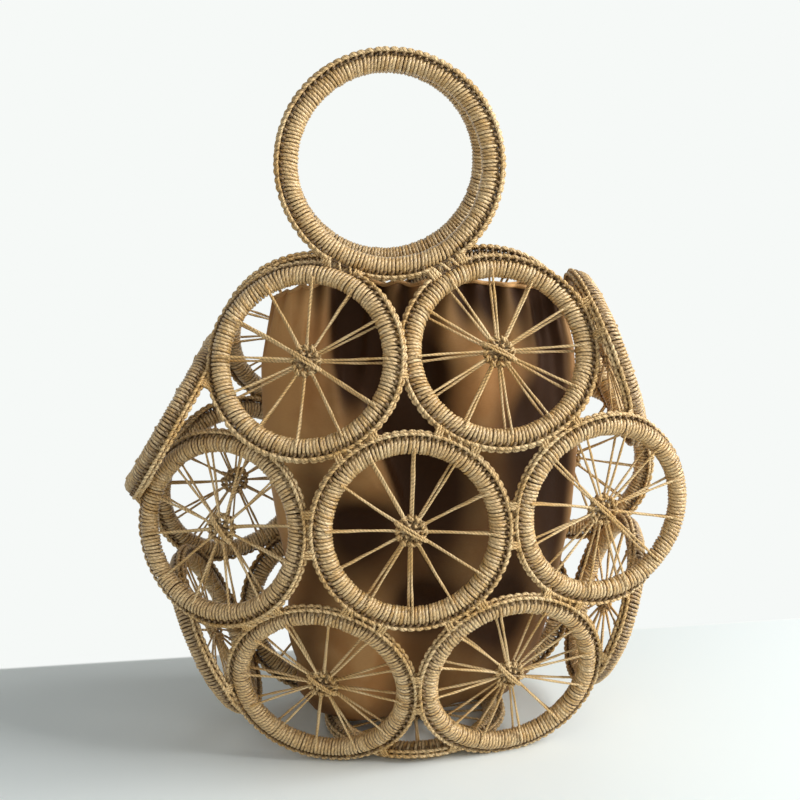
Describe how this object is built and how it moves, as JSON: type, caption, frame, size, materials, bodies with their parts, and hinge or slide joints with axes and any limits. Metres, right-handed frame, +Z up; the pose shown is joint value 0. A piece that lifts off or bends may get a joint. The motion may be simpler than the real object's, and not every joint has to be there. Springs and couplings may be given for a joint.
{
  "type": "handbag",
  "caption": "Domed handbag of cord-wound rings with spoked webs, lashed edge to edge, with a pair of swinging ring handles and a loose satin lining open at the top.",
  "frame": {"origin": "on the ground under the middle of the bag's outline, level with the resting flat of the floor ring", "axes": "+Z up; +X to the right of a person who looks at the front panel; the front panel faces -Y"},
  "size_m": [0.313, 0.1536, 0.3894],
  "materials": {
    "cord": "matt twisted paper cord",
    "lining": "satin"
  },
  "bodies": {
    "bag": {"back_bottom_left_ring": "cord", "back_bottom_left_web": "cord", "back_bottom_right_ring": "cord", "back_bottom_right_web": "cord", "back_centre_ring": "cord", "back_centre_web": "cord", "back_handle_lashing_left": "cord", "back_handle_lashing_right": "cord", "back_middle_left_ring": "cord", "back_middle_left_web": "cord", "back_middle_right_ring": "cord", "back_middle_right_web": "cord", "back_top_left_ring": "cord", "back_top_left_web": "cord", "back_top_right_ring": "cord", "back_top_right_web": "cord", "front_bottom_left_ring": "cord", "front_bottom_left_web": "cord", "front_bottom_right_ring": "cord", "front_bottom_right_web": "cord", "front_centre_ring": "cord", "front_centre_web": "cord", "front_handle_lashing_left": "cord", "front_handle_lashing_right": "cord", "front_middle_left_ring": "cord", "front_middle_left_web": "cord", "front_middle_right_ring": "cord", "front_middle_right_web": "cord", "front_top_left_ring": "cord", "front_top_left_web": "cord", "front_top_right_ring": "cord", "front_top_right_web": "cord", "gusset_base_ring": "cord", "gusset_base_web": "cord", "gusset_lower_left_ring": "cord", "gusset_lower_left_web": "cord", "gusset_lower_right_ring": "cord", "gusset_lower_right_web": "cord", "gusset_upper_left_ring": "cord", "gusset_upper_left_web": "cord", "gusset_upper_right_ring": "cord", "gusset_upper_right_web": "cord", "lining": "lining"},
    "front_handle": {"front_handle": "cord"},
    "back_handle": {"back_handle": "cord"}
  },
  "joints": [
    {"name": "front_handle_swing", "type": "hinge", "parent": "bag", "child": "front_handle", "pos_m": [0.00132, -0.02735, 0.27769], "axis": [0.9987, 0.0376, -0.0355], "range_deg": [0, 80]},
    {"name": "back_handle_swing", "type": "hinge", "parent": "bag", "child": "back_handle", "pos_m": [0.0006, 0.02734, 0.27769], "axis": [-0.9988, 0.0358, 0.0339], "range_deg": [0, 80]}
  ]
}
